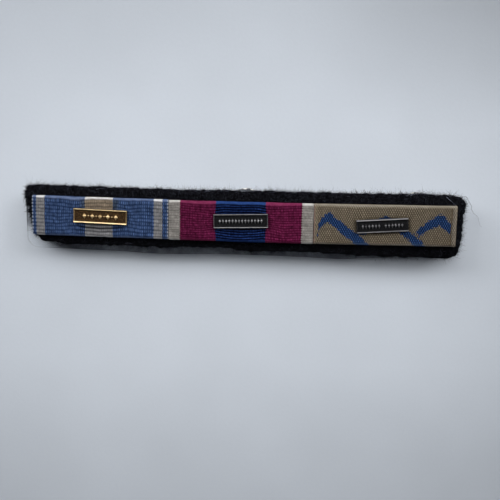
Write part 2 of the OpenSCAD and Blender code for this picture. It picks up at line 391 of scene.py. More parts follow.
# The zigzag woven in the right ribbon: upper and lower edge of three runs of legs, as (along, up)
ZIGZAG = [
    ([(-17.25, -0.35), (-16.11, 1.9), (-15.28, 2.85), (-13.99, 2.85), (-12.66, 1.65), (-10.68, 0.15),
      (-8.91, -1.13), (-7.2, -2.3), (-5.45, -3.89), (-3.75, -5.26), (-1.9, -7.2)],
     [(-17.25, -2.15), (-16.47, -0.84), (-14.97, 0.37), (-14.33, 0.31), (-12.79, -0.97), (-10.58, -2.89),
      (-8.34, -4.61), (-7.47, -5.33), (-5.0, -7.25)]),
    ([(-7.0, -2.4), (-1.33, 1.95), (-0.1, 2.55), (1.35, 2.1), (6.28, -2.06), (7.98, -2.94), (9.44, -4.09),
      (10.16, -5.04), (12.3, -7.2)],
     [(-7.0, -3.1), (-5.6, -3.0), (0.0, 0.9), (3.98, -2.11), (5.45, -3.49), (6.92, -4.67), (7.61, -5.23),
      (9.9, -7.25)]),
    ([(8.05, -1.7), (9.22, -0.41), (11.0, 1.08), (12.78, 2.46), (13.66, 3.07), (14.57, 3.09), (15.8, 1.92),
      (16.9, 0.5)],
     [(8.05, -2.1), (8.8, -2.85), (10.22, -1.85), (12.02, -0.75), (13.81, 0.36), (15.25, -0.81),
      (16.9, -2.2)]),
]
ZIGZAG_REACH = 8.0
# The twill's floats: half the distance between two on a row, and from row to row
CELL_HALF = 0.302
CELL_ROW = 0.535
# The zigzag's own steps along and up, and how far its edge strays
STEP_X = 0.29
STEP_Y = 0.255
STRAY_Y = 0.38
# Yarns of the right ribbon between the floats and on them, then under the painted highlight on the fold
TWILL = dict(sand=((0.06, 0.047, 0.032), (0.335, 0.284, 0.211)),
             band=((0.085, 0.07, 0.05), (0.25, 0.207, 0.15)),
             pale=((0.09, 0.076, 0.06), (0.4, 0.345, 0.276)),
             blue=((0.0005, 0.004, 0.014), (0.056, 0.132, 0.372)))
FOLD_LIT_SAND, FOLD_LIT_BLUE = (0.32, 0.284, 0.232), (0.09, 0.15, 0.3)
LINE_BROWN, EDGE_PINK = (0.075, 0.048, 0.032), (0.27, 0.175, 0.15)


def loop_point(s, inset):
    """Where the ribbon's path runs: across the bar, above the felt, and the outward direction there."""
    side, along = np.sign(s), np.abs(s)
    r = LOOP_T / 2
    turned = np.clip((along - FACE_HALF) / r, 0, math.pi)
    behind = np.clip(along - FACE_HALF - FOLD_L, 0, None)
    y = np.minimum(along, FACE_HALF) - behind + (r - inset) * np.sin(turned)
    z = r + (r - inset) * np.cos(turned)
    return side * y, z, side * np.sin(turned), np.cos(turned)


def clasp_frame(spec, x, y):
    """Points of a ribbon in its clasp's own frame, and how far each is from the clasp's edge."""
    cx, cy, turn, length, high = spec["clasp"]
    c, s = turn_of(turn)
    along = (x - cx) * c + (y - cy) * s
    across = -(x - cx) * s + (y - cy) * c
    out_x, out_y = np.maximum(np.abs(along) - length / 2, 0), np.maximum(np.abs(across) - high / 2, 0)
    return along, across, np.hypot(out_x, out_y)


def woven_relief(key, x, s, half, seed):
    """For each point the weave's own place, how high on its rib it lies, how far it stands out, and its x."""
    spec, cloth = RIBBONS[key], CLOTHS[key]
    length, high = spec["clasp"][3:]
    on_face = bell(np.maximum(np.abs(s) - FACE_HALF, 0) / 1.2)
    along, across, away = clasp_frame(spec, x, np.clip(s, -FACE_HALF - 1, FACE_HALF + 1))
    past_end, past_side = np.abs(along) - length / 2, np.abs(across) - high / 2

    # The clasp's posts draw the ribs in beside it, and the cloth is wound by hand
    drawn = np.sign(across) * bell((past_end - 0.2) / 2.3) * bell(np.maximum(past_side, 0) / 2.6)
    drawn = DRAWN_IN * drawn * np.minimum(1, np.abs(across) / (high / 2)) * on_face
    shift = ripples(WANDER, x, s, seed) + drawn
    lean = LEAN * np.sign(along) * bell(past_end / 1.5) * bell(past_side / 1.6)
    lean = on_face * (lean + 0.07 * noise(x / 3.0, s / 2.2, seed + 2))
    phase = (s + shift) / cloth["pitch"]
    inside = 2 * (phase - np.floor(phase)) - 1
    rib = np.sqrt(np.clip(1 - 0.97 * inside * inside, 0, 1))
    strength = 0.82 + 0.3 * noise(x / 2.2, np.floor(phase) * 3.1, seed + 3)

    pressed = np.clip(1 - away / PRESSED_WIDE, 0, 1)
    off = cloth["rib_h"] * strength * (rib - 1) * (1 - 0.5 * pressed)
    off -= (SUNK_BESIDE * bell(away / 0.8) * (1 - pressed) + SUNK_BELOW * pressed) * on_face
    off += 0.035 * noise(x / 6.0, s / 3.0, seed + 4) * (1 - pressed)
    off += 0.012 * noise(x / 0.5, s / 0.45, seed + 5)
    from_edge = half - np.abs(x)
    off -= 0.10 * np.exp(-from_edge / 0.07)
    if key == "right":
        off += 0.035 * bell((from_edge - 0.45) / 0.28) - 0.05 * bell((from_edge - 0.95) / 0.2)
    # Selvedges follow the ribs, and stay off the neighbour
    wavy = 0.19 * (rib - 1) + 0.04 * noise(s / 1.1, 0.5, seed + 6)
    own_x = x + np.sign(x) * np.exp(-from_edge / 0.3) * wavy
    return x - lean, s + shift, rib, np.clip(off, *STANDS_OUT), own_x


def wound_ribbon(key, seed):
    spec, cloth = RIBBONS[key], CLOTHS[key]
    half = spec["wide"] / 2 + SELVEDGE_OUT
    front = spaced(-FACE_END, FACE_END, cloth["pitch"] / cloth["steps"])
    back = spaced(FACE_END, PATH_HALF, BACK_STEP)[1:]
    stations = np.concatenate([-back[::-1], front, back])
    columns = np.concatenate([EDGE_COLUMNS - half, spaced(EDGE_WIDE - half, half - EDGE_WIDE, COLUMN),
                              (half - EDGE_COLUMNS)[::-1]])
    s, x = np.meshgrid(stations, columns, indexing="ij")
    y, z, ny, nz = loop_point(s, 0.0)
    weave_x, weave_s, rib, off, own_x = woven_relief(key, x, s, half, seed)
    outer = rows_of(own_x, y + off * ny, z + off * nz)

    inner_s, inner_x = np.meshgrid(spaced(-PATH_HALF, PATH_HALF, INNER_STEPS[0]),
                                   spaced(-half, half, INNER_STEPS[1]), indexing="ij")
    inner_y, inner_z, _, _ = loop_point(inner_s, RIBBON_T)
    inner = rows_of(inner_x, inner_y, inner_z)
    ids = np.arange(len(outer)).reshape(s.shape)
    in_ids = len(outer) + np.arange(len(inner)).reshape(inner_s.shape)
    faces = grid_faces(ids) + grid_faces(in_ids, flip=True)
    for pick in (0, -1):
        faces += zipped(ids[:, pick].tolist(), in_ids[:, pick].tolist())
        faces += zipped(ids[pick, :].tolist(), in_ids[pick, :].tolist())
    weave = np.concatenate([rows_of(weave_x, weave_s, rib), rows_of(inner_x, inner_s, INNER_RIB)])
    points = in_row(np.concatenate([outer, inner]), spec, LOOP_Z)
    obj = make_mesh("ribbon_" + key + "_cloth", points, faces, {"weave": weave})
    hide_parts("ribbon_" + key)
    return obj


def fold_highlight(g, key, x, s):
    """1 where the fold over the upper and lower edge bears its painted highlight, uneven along the bar."""
    start = FACE_HALF + CLOTHS[key]["fold_at"]
    edge = g.plus(s, g.scaled(g.stretched((x, s), (0.7, 1.4), 3.0, 0.6), 0.5, -0.25))
    upper = g.math("POWER", g.between(edge, start, start + 0.58), 1.5)
    lower = g.between(edge, -FACE_HALF - 0.25, -FACE_HALF - 0.65, 0.0, CLOTHS[key]["lit_below"])
    end = g.between(g.size(s), FACE_HALF + 0.95, FACE_HALF + 1.35, 1.0, 0.0)
    uneven = g.between(g.stretched((x, s), (0.55, 1.0)), 0.3, 0.7, 0.5, 1.15)
    return g.math("MINIMUM", g.times(g.larger(upper, lower), end, uneven), 1.0)


def clasp_contact_shade(g, key, x, s):
    """Less than 1 beside the clasp: painted contact shadow round it."""
    cx, cy, turn, length, high = RIBBONS[key]["clasp"]
    c, q = turn_of(turn)
    right, up = g.minus(x, cx), g.minus(s, cy)
    along = g.plus(g.times(right, c), g.times(up, q))
    across = g.minus(g.times(up, c), g.times(right, q))
    out = g.larger(g.minus(g.size(along), length / 2), g.minus(g.size(across), high / 2))
    return g.scaled(g.between(out, 0.0, CONTACT_SHADE_WIDE, 1.0, 0.0), -CLOTHS[key]["shade_depth"], 1.0)


def striped_cloth(key):
    g = Graph("cloth_" + key, Specular_IOR_Level=0.01, Sheen_Weight=0.0)
    look, pitch, wide = STRIPED[key], CLOTHS[key]["pitch"], RIBBONS[key]["wide"]
    x, s, rib = g.split(g.attribute("weave", "Vector"))
    fine = g.stretched((x, s), (3.2, 9.0), 2.0)
    # The ribs carry the stripes' edges out and in
    wavy = g.scaled(rib, look["wavy"], -look["wavy"] / 2)
    reach = g.math("DIVIDE", g.plus(x, wavy, g.scaled(fine, 0.16, -0.08 + wide / 2)), wide)
    names = [name for name, _ in STRIPES[key]]
    starts = np.cumsum([0.0] + [width for _, width in STRIPES[key][:-1]]) / wide

    def by_stripe(value_of):
        return g.ramp(reach, [(start, value_of(name)) for start, name in zip(starts, names)], "CONSTANT")

    tops, groove_shade, wear_and_highlight = (by_stripe(lambda name: YARNS[key][name][which]) for which in range(3))
    pale, navy, _ = g.split(by_stripe(lambda name: (float(name == "white"), float(name == "navy"), 0.0)))

    # The grooves between the ribs, darkened as painted shade
    groove = g.wave(s, pitch, math.pi / 2)
    streak = g.stretched((x, s), (1.1, 2.2), 4.0, 0.65)
    soft = g.math("POWER", groove, 1.3)
    depth = g.scaled(navy, g.minus(g.between(groove, 0.25, 0.7), soft), soft)
    depth = g.times(depth, g.between(streak, 0.3, 0.7, g.between(navy, 0.0, 1.0, 0.4, 0.6), 1.4))
    colour = g.mix(g.math("MINIMUM", depth, 1.0), tops, groove_shade)

    # Threads across the ribs, flecks and specks along them, and watered patches
    number = g.step(s, pitch)
    flecks = g.stretched((x, number), (1.9, 5.37), 3.0, 0.75)
    specks = g.white(g.step(x, SPECK_WIDE), number)
    watered = g.stretched((x, s), (0.28, 0.9), 3.0, 0.6)
    yarn = g.wave(x, look["yarn"])
    crossing = g.times(g.minus(yarn, 0.5), g.minus(1.0, groove))
    threads = g.scaled(crossing, g.between(pale, 0.0, 1.0, look["thread"], 0.3), 1.0)
    flecked = g.scaled(g.between(flecks, 0.25, 0.75, -1.0, 1.0),
                       g.plus(g.between(pale, 0.0, 1.0, look["fleck"], 0.24), g.times(navy, 0.03)), 1.0)
    specked = g.scaled(g.between(specks, 0.0, 1.0, -1.0, 1.0),
                       g.plus(g.between(pale, 0.0, 1.0, look["speck"], 0.12), g.times(navy, 0.08)), 1.0)
    lower_navy = g.scaled(g.times(navy, g.between(s, 0.0, -3.5)), 0.22, 1.0)
    # Painted light pales the cloth towards the right end
    colour = g.tint(colour, g.sway(watered, 0.2, 0.3), threads, flecked, specked, g.sway(fine, 0.25, 0.2),
                    g.between(x, -14.0, 16.0, 0.99, look["right_end_lit"]), lower_navy)
    if key == "left":
        # Painted reflection of the gilt clasp, warm on the cloth above it
        gilt_reflection = g.times(g.between(s, 1.9, 2.4), g.between(g.size(x), 5.6, 4.4))
        colour = g.mix(gilt_reflection, colour, GILT_REFLECTION_TINT, "MULTIPLY")
        # Painted shade on the cloth below the clasp, deepest in the grooves
        shade_below_clasp = g.times(g.between(s, -1.6, -2.2), g.between(s, -4.2, -3.2), g.between(g.size(x), 6.6, 5.0))
        colour = g.tint(colour, g.minus(1.0, g.times(shade_below_clasp, g.scaled(soft, 0.74, 0.13))))
    # Painted contact shadow round the clasp
    colour = g.tint(colour, clasp_contact_shade(g, key, x, s))
    # Painted highlight on the folds
    colour = g.mix(fold_highlight(g, key, x, s), colour, g.tint(wear_and_highlight, g.sway(fine, 0.25, 0.2)))
    rim = g.between(g.size(x), wide / 2 - 0.30, wide / 2 - 0.14)
    colour = g.mix(g.times(rim, g.between(groove, 0.75, 0.3, 0.08, 0.9)), colour, look["loops"])
    g.bump(g.plus(g.times(yarn, 0.6), g.times(fine, 0.5)), 0.035)
    return g.end(Base_Color=colour, Roughness=g.between(watered, 0.3, 0.7, 0.62, 0.5))


def zigzag_stops(upper, lower, wide):
    """Upper edge in red and lower edge in green, along the ribbon. Past the run both lie below the cloth."""
    def code(edge, x):
        level = float(np.interp(x, *zip(*edge)))
        return (level + ZIGZAG_REACH) / (2 * ZIGZAG_REACH)

    places = sorted({p[0] for p in upper + lower})
    none = (0.0, 0.0, 0.0)
    stops = [(places[0] - 0.01, none), *((x, (code(upper, x), code(lower, x), 0.0)) for x in places),
             (places[-1] + 0.01, none)]
    return [((x + wide / 2) / wide, colour) for x, colour in stops]


def zigzag_mask(g, x, s, wide):
    """1 on the zigzag. It is woven in small steps, so the cloth's points fall into cells."""
    row, column = g.step(s, STEP_Y), g.step(x, STEP_X)
    cell_x = g.scaled(column, STEP_X, STEP_X / 2)
    cell_y = g.plus(g.scaled(row, STEP_Y, STEP_Y / 2), g.scaled(g.white(column, row), 2 * STRAY_Y, -STRAY_Y))
    masks = []
    for upper_edge, lower_edge in ZIGZAG:
        edges = g.ramp(g.scaled(cell_x, 1 / wide, 0.5), zigzag_stops(upper_edge, lower_edge, wide))
        upper, lower, _ = g.split(edges)
        level = g.scaled(cell_y, 0.5 / ZIGZAG_REACH, 0.5)
        masks.append(g.times(g.math("LESS_THAN", level, upper), g.math("GREATER_THAN", level, lower)))
    return g.larger(*masks)


def zigzag_cloth():
    g = Graph("cloth_right", Specular_IOR_Level=0.03, Sheen_Weight=0.0)
    x, s, _ = g.split(g.attribute("weave", "Vector"))
    blue = zigzag_mask(g, x, s, RIBBONS["right"]["wide"])
    # Twill: a lattice of short floats, from two sets of slanting lines
    across, up = g.scaled(x, 0.5 / CELL_HALF, -0.25), g.scaled(s, 0.5 / CELL_ROW, -0.25)
    one, other = g.wave(g.plus(across, up), 1.0), g.wave(g.minus(across, up), 1.0)
    dots = g.math("POWER", g.times(one, other), 0.9)
    fine = g.stretched((x, s), (3.0, 3.0), 2.0)
    patches = g.stretched((x, s), (0.8, 1.1), 3.0, 0.65)
    flecks = g.stretched((x, s), (1.5, 1.8), 3.0, 0.75)
    # Bands at the two selvedges: a plain one at the left, a pale one behind a brown line at the right
    sand = g.mix(g.between(x, -17.25, -17.4), g.mix(dots, *TWILL["sand"]), g.mix(one, *TWILL["band"]))
    pale_band = g.tint(g.mix(dots, *TWILL["pale"]), g.between(x, 17.0, 17.9, 0.72, 1.3))
    sand = g.mix(g.between(x, 17.0, 17.15), sand, pale_band)
    line = g.times(g.between(x, 16.75, 16.9), g.between(x, 17.15, 17.0))
    sand = g.mix(g.times(line, 0.75), sand, LINE_BROWN)
    sand = g.mix(g.times(g.between(x, -17.95, -18.1), 0.7), sand, EDGE_PINK)
    # Painted shade darkens the cloth towards the right end; it is also a little darker towards the bottom,
    # and has painted contact shadow round the clasp
    colour = g.tint(g.mix(blue, sand, g.mix(dots, *TWILL["blue"])), g.sway(patches, 0.2, 0.22),
                    g.between(s, -3.5, 3.5, 0.95, 1.04), g.between(x, -16.0, 16.0, 0.99, 0.93),
                    g.sway(fine, 0.25, 0.24), g.sway(flecks, 0.25, 0.3), clasp_contact_shade(g, "right", x, s))
    # Painted highlight on the folds
    wear_and_highlight = g.tint(g.mix(blue, FOLD_LIT_SAND, FOLD_LIT_BLUE), g.between(one, 0.0, 1.0, 0.35, 1.5))
    g.bump(g.plus(dots, g.times(blue, 0.5), g.times(fine, 0.4)), 0.06)
    return g.end(Base_Color=g.mix(fold_highlight(g, "right", x, s), colour, wear_and_highlight), Roughness=0.62)


# Felt
FELT_SPACING = 0.34
FELT_EDGE_R = 0.75
FELT_CELL = 0.42
FELT_OUT_TOP = 0.16
FELT_OUT_RIGHT = 0.12
FELT_IN_LEFT = 0.8
FELT_OUT_CORNER = 0.9
# The felt beside the plate's tabs: where along the row, half the stretch, and how far it is pushed out
FELT_AT_TABS = [(2.3, 2.5, -0.36), (44.8, 1.1, -0.26), (47.4, 1.4, 0.3)]
# Rings up the cut side and then over the rounded edge, as shares of each
SIDE_RINGS = (0.0, 0.12, 0.3, 0.5, 0.7, 0.86)
ROUND_RINGS = (0.06, 0.25, 0.48, 0.74, 1.0)
NAP = [(0.05, 1.3, 1.3), (0.06, 0.62, 0.55), (0.04, 0.4, 0.4)]
ROW_HALF_L = 55.7


def top_outline(node):
    """The outline of a CAD node's flat top, in order, in millimetres."""
    mesh = frame["nodes"][node].data
    place = np.array([v.co for v in mesh.vertices]) / MM
    top = place[:, 2].max()
    keys = [tuple(np.round(p, 4)) for p in place]
    edges = {}
    for poly in mesh.polygons:
        corners = list(poly.vertices)
        if all(place[c, 2] > top - 1e-3 for c in corners):
            for a, b in zip(corners, corners[1:] + corners[:1]):
                pair = frozenset((keys[a], keys[b]))
                edges[pair] = None if pair in edges else (keys[a], keys[b])
    following = {a: b for a, b in filter(None, edges.values())}
    start = here = next(iter(following))
    chain = []
    while True:
        chain.append(here[:2])
        here = following[here]
        if here == start:
            return np.array(chain)


def evenly(points, step):
    closed = np.vstack([points, points[:1]])
    run = np.concatenate([[0], np.cumsum(np.hypot(*np.diff(closed, axis=0).T))])
    count = int(run[-1] / step)
    t = np.arange(count) * run[-1] / count
    return np.stack([np.interp(t, run, closed[:, 0]), np.interp(t, run, closed[:, 1])], -1)


def softened(points, times):
    for _ in range(times):
        points = (np.roll(points, 1, 0) + 2 * points + np.roll(points, -1, 0)) / 4
    return points


def normals_of(points):
    along = unit(np.roll(points, -1, 0) - np.roll(points, 1, 0))
    area = (points[:, 0] * np.roll(points[:, 1], -1) - np.roll(points[:, 0], -1) * points[:, 1]).sum()
    return np.stack([along[:, 1], -along[:, 0]], -1) * (1 if area > 0 else -1)


def filled_rim(rim, inner, level):
    """Triangles that fill a closed rim, with extra points inside it. Returns new points and the faces."""
    count = len(rim)
    every = [Vector(p) for p in np.vstack([rim, inner])]
    found, _, faces, sources, _, _ = delaunay_2d_cdt(every, [], [list(range(count))], 1, 1e-6)
    names, extra = {}, []
    for i, source in enumerate(sources):
        if source and min(source) < count:
            names[i] = min(source)
        else:
            names[i] = count + len(extra)
            extra.append((found[i][0], found[i][1], level))
    return extra, [[names[i] for i in face] for face in faces]


def under_ribbons(x, y):
    """How far inside the ribbons' shadow a point of the felt lies; below 0 it lies outside."""
    return np.minimum(ROW_HALF_L - np.abs(x - ROW_PLACE[0]), RIBBON_H / 2 - 0.3 - np.abs(y - ROW_PLACE[1]))


def within(points, rim):
    """True for the points inside a closed rim."""
    inside = np.zeros(len(points), bool)
    for (x0, y0), (x1, y1) in zip(rim, np.roll(rim, -1, 0)):
        crosses = (y0 > points[:, 1]) != (y1 > points[:, 1])
        if crosses.any():
            where = (x1 - x0) * (points[:, 1] - y0) / ((y1 - y0) or 1e-12) + x0
            inside ^= crosses & (points[:, 0] < where)
    return inside


def raggedness(rim, normal, t):
    """How far the scissors' cut strays out from the felt's outline, round the rim."""
    right, left = np.clip(normal[:, 0], 0, 1), np.clip(-normal[:, 0], 0, 1)
    upper, lower = np.clip(normal[:, 1], 0, 1), np.clip(-normal[:, 1], 0, 1)
    out = 0.14 * noise(t / 2.1, 0.3, 11) + (0.13 + 0.12 * np.abs(normal[:, 0])) * noise(t / 0.9, 7.1, 12)
    out += 0.11 * noise(t / 0.42, 3.7, 13)
    out += 0.34 * noise(t / 0.62, 5.1, 31) * left
    at_tabs = sum(push * bell((rim[:, 0] - x) / half) for x, half, push in FELT_AT_TABS)
    out += (FELT_OUT_TOP + at_tabs) * upper
    out += FELT_OUT_RIGHT * right
    out -= FELT_IN_LEFT * left * bell((rim[:, 1] + 0.3) / 5.0)
    out += FELT_OUT_CORNER * lower * bell((rim[:, 0] + 53.0) / 1.8)
    return out


def side_rings(rim, normal, ragged, t):
    """Rings of points up the cut side from the underside, then over the rounded edge."""
    low, high = FELT_Z
    drop = FELT_EDGE_R * 0.8
    rings = []
    for share in SIDE_RINGS:
        tuck = -0.32 * (1 - share) ** 2 + 0.05 * math.sin(3 * share)
        rough = 0.09 * noise(t / 0.7, share * 4.1, 14) + 0.05 * noise(t / 0.33, share * 8.3, 15)
        out = ragged * (0.55 + 0.45 * share) + tuck + rough
        level = np.full(len(rim), low + share * (high - low - drop))
        rings.append(np.column_stack([rim + normal * out[:, None], level]))
    for share in ROUND_RINGS:
        angle = share * math.pi / 2
        rough = 0.05 * noise(t / 0.5, 3 + share * 2, 16)
        out = ragged * (1 - 0.4 * share) - FELT_EDGE_R * (1 - math.cos(angle)) + rough
        level = high - drop * (1 - math.sin(angle)) + 0.03 * noise(t / 0.6, share * 5, 17)
        rings.append(np.column_stack([rim + normal * out[:, None], level]))
    return rings


def top_points(last):
    """Points of the felt's top within its last ring, close together where the ribbons leave it bare."""
    lo, hi = last.min(0), last.max(0)
    x, y = np.meshgrid(np.arange(lo[0], hi[0], FELT_CELL), np.arange(lo[1], hi[1], FELT_CELL))
    x = x + FELT_CELL * 0.35 * noise(x * 3.7, y * 3.1, 18)
    y = y + FELT_CELL * 0.35 * noise(x * 3.3, y * 3.9, 19)
    grid = rows_of(x, y)
    deep = under_ribbons(*grid.T)
    number = np.arange(len(grid))
    grid = grid[(deep <= 1.0) | (lattice(number, number * 3, 20) <= 0.06)]
    near = np.full(len(grid), 1e9)
    for piece in np.array_split(last, 40):
        gap = np.hypot(grid[:, None, 0] - piece[:, 0], grid[:, None, 1] - piece[:, 1])
        near = np.minimum(near, gap.min(1))
    return grid[(near > 0.22) & within(grid, last)]


def make_felt():
    low, high = FELT_Z
    rim = softened(evenly(top_outline("felt_pad"), FELT_SPACING), 5)
    normal = normals_of(softened(rim, 6))
    t = np.arange(len(rim)) * FELT_SPACING
    ragged = raggedness(rim, normal, t)
    rings = side_rings(rim, normal, ragged, t)
    points = np.vstack(rings)
    n = len(rim)
    ids = np.arange(len(points)).reshape(len(rings), n)
    faces = grid_faces(np.column_stack([ids, ids[:, 0]]))
    last = rings[-1][:, :2]
    extra, cap = filled_rim(last, top_points(last), high)
    base = len(points) - n
    faces += [[base + i for i in face] for face in cap]
    points = np.vstack([points, np.array(extra)])
    faces += filled_rim(rings[0][:, :2], np.zeros((0, 2)), low)[1]

    # The nap stands up where the felt is bare, and lies flat under the ribbons
    x, y, z = points.T
    held = np.clip(under_ribbons(x, y) / 0.5 + 1, 0, 1)
    nap = (ripples(NAP, x, y, 21) - 0.03) * (1 - held) - 0.13 * held
    z = z + np.where(z > high - 0.35, nap, 0)
    points[:, 2] = np.minimum(z, np.where(held > 0, high - 0.01, high + 0.06))
    obj = make_mesh("felt_pad_cloth", points, faces)
    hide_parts("felt_pad")
    return obj, rim + normal * ragged[:, None], normal


def tapered_tubes(line, bend, radius):
    """Three-sided tubes along rows of points, each tapering to a point."""
    count, steps = line.shape[0], line.shape[1] - 1
    t = np.linspace(0, 1, steps + 1)[None, :, None]
    along = unit(np.gradient(line, axis=1))
    side = unit(np.cross(along, bend[:, None] + 0.01))
    up = np.cross(along, side)
    width = radius[:, None, None] * (1 - 0.75 * t[:, :-1])
    rings = [line[:, :-1] + (side[:, :-1] * math.cos(a) + up[:, :-1] * math.sin(a)) * width
             for a in (0, TURN / 3, TURN * 2 / 3)]
    tube = np.stack(rings, 2).reshape(count, -1, 3)
    points = np.concatenate([tube, line[:, -1:]], 1)
    faces = [[0, 2, 1]]
    for j in range(0, 3 * (steps - 1), 3):
        faces += [[j + k, j + (k + 1) % 3, j + 3 + (k + 1) % 3, j + 3 + k] for k in range(3)]
    last = 3 * (steps - 1)
    faces += [[last + k, last + (k + 1) % 3, last + 3] for k in range(3)]
    return points, faces


def hairs(start, heading, length, radius, curl, draw, steps):
    """Thin hairs that taper to a point. curl is how far each strays for its length."""
    count = len(start)
    heading = unit(heading)
    bend = unit(draw.normal(size=(count, 3)))
    swing = unit(np.cross(heading, bend))
    t = np.linspace(0, 1, steps + 1)[None, :, None]
    wobble = np.sin(t * draw.uniform(1.5, 6.0, (count, 1, 1)) + draw.uniform(0, TURN, (count, 1, 1)))
    line = (start[:, None] + heading[:, None] * t * length[:, None, None]
            + bend[:, None] * (t * t) * (curl * length)[:, None, None]
            + swing[:, None] * (wobble - wobble[:, :1]) * (0.35 * curl * length)[:, None, None])
    return tapered_tubes(line, bend, radius)


class Fleece:
    """Gathers hairs of several kinds into one mesh. tone is how pale each hair is."""

    def __init__(self, seed):
        self.draw = np.random.default_rng(seed)
        self.points, self.faces, self.tones, self.count = [], [], [], 0

    def add(self, points, faces, tone):
        each = points.shape[1]
        for i in range(len(points)):
            base = self.count + i * each
            self.faces.extend([[base + v for v in face] for face in faces])
        self.points.append(points.reshape(-1, 3))
        self.tones.append(np.repeat(tone, each))
        self.count += len(points) * each

    def strew(self, start, heading, length, thick, curl, pale, steps=3):
        """Adds hairs of one kind. thick and curl are ranges, pale is a range, a power and a factor."""
        count = len(start)
        radius = self.draw.uniform(*thick, count)
        stray = self.draw.uniform(*curl, count)
        points, faces = hairs(start, heading, length, radius, stray, self.draw, steps)
        low, high, power, factor = pale
        self.add(points, faces, self.draw.uniform(low, high, count) ** power * factor)

    def mesh(self, name):
        tones = {"tone": np.concatenate(self.tones)}
        return make_mesh(name, np.concatenate(self.points), self.faces, tones, tidy=False)


def fringe(rim, normal, pick, inset, level, out, along, draw):
    """Where hairs start at the picked points of the rim, and which way they point, still level."""
    side = normal[pick]
    start = np.column_stack([rim[pick] - side * inset[:, None], level])
    heading = (side * draw.uniform(*out, (len(pick), 1))
               + np.column_stack([-side[:, 1], side[:, 0]]) * draw.normal(0, along, (len(pick), 1)))
    return start, np.column_stack([heading, np.zeros(len(pick))])


# How many hairs there are of each kind
EDGE_HAIRS = 9500
END_TUFTS = 900
LONG_HAIRS = 4200
TOP_HAIRS = 5200
PALE_HAIRS = 170
# Short single strays: start, heading, length, curl and tone. The first lies over the upper right corner
STRAYS = [((53.4, 8.35, 6.75), (2.3, -2.15, 0.55), 3.4, 0.06, 26.0),
          ((58.0, 3.6, 5.6), (0.8, -1.2, -0.2), 2.0, 0.9, 30.0),
          ((-38.5, 8.0, 6.4), (3.0, 0.6, 0.1), 3.0, 0.2, 14.0)]
STRAY_R, STRAY_STEPS = 0.025, 24
# One long stray that hangs off the right end down to the table
LONG_STRAY = [(57.0, 8.4, 6.2), (58.7, 8.5, 5.4), (59.6, 7.3, 4.6), (60.8, 5.7, 3.7), (60.7, 5.1, 3.2),
              (61.8, 3.8, 2.2), (63.2, 2.8, 1.1), (64.1, 0.3, 0.4), (64.7, -0.1, 0.2)]
LONG_STRAY_R, LONG_STRAY_STEPS, LONG_STRAY_TONE = 0.062, 48, 2.5


def make_fuzz(rim, normal):
    """Short hairs all round the cut edge and over its rounded top."""
    fleece = Fleece(41)
    draw = fleece.draw
    low, high = FELT_Z
    count = EDGE_HAIRS
    pick = draw.integers(0, len(rim), count)
    rise = draw.uniform(0.05, 1.0, count) ** 0.7
    over = np.clip(rise - 0.75, 0, 1) * 4 * draw.uniform(0, 1, count)
    start, heading = fringe(rim, normal, pick, 0.12 + 0.5 * over, low + rise * (high - low) - 0.08,
                            (0.2, 1.2), 0.9, draw)
    heading[:, 2] = rise * draw.uniform(-0.2, 0.8, count)
    length = draw.gamma(2.6, 0.23, count).clip(0.15, 2.0)
    fleece.strew(start, heading, length, thick=(0.014, 0.023), curl=(0.1, 0.6), pale=(0.1, 1.0, 2.5, 3.4))
    # The left end was cut across the felt, so small tufts stand out of it
    count = END_TUFTS
    pick = draw.choice(np.flatnonzero(normal[:, 0] < -0.6), count)
    start = np.column_stack([rim[pick] - normal[pick] * 0.25, draw.uniform(low + 0.2, high - 0.1, count)])
    heading = np.column_stack([normal[pick], draw.uniform(-0.3, 0.3, count)])
    heading[:, 1] += draw.normal(-0.3, 0.5, count)
    length = draw.gamma(4.0, 0.19, count).clip(0.3, 1.6)
    fleece.strew(start, heading, length, thick=(0.06, 0.12), curl=(0.1, 0.5), pale=(0.05, 0.5, 1, 1))
    return fleece.mesh("felt_pad_fuzz")


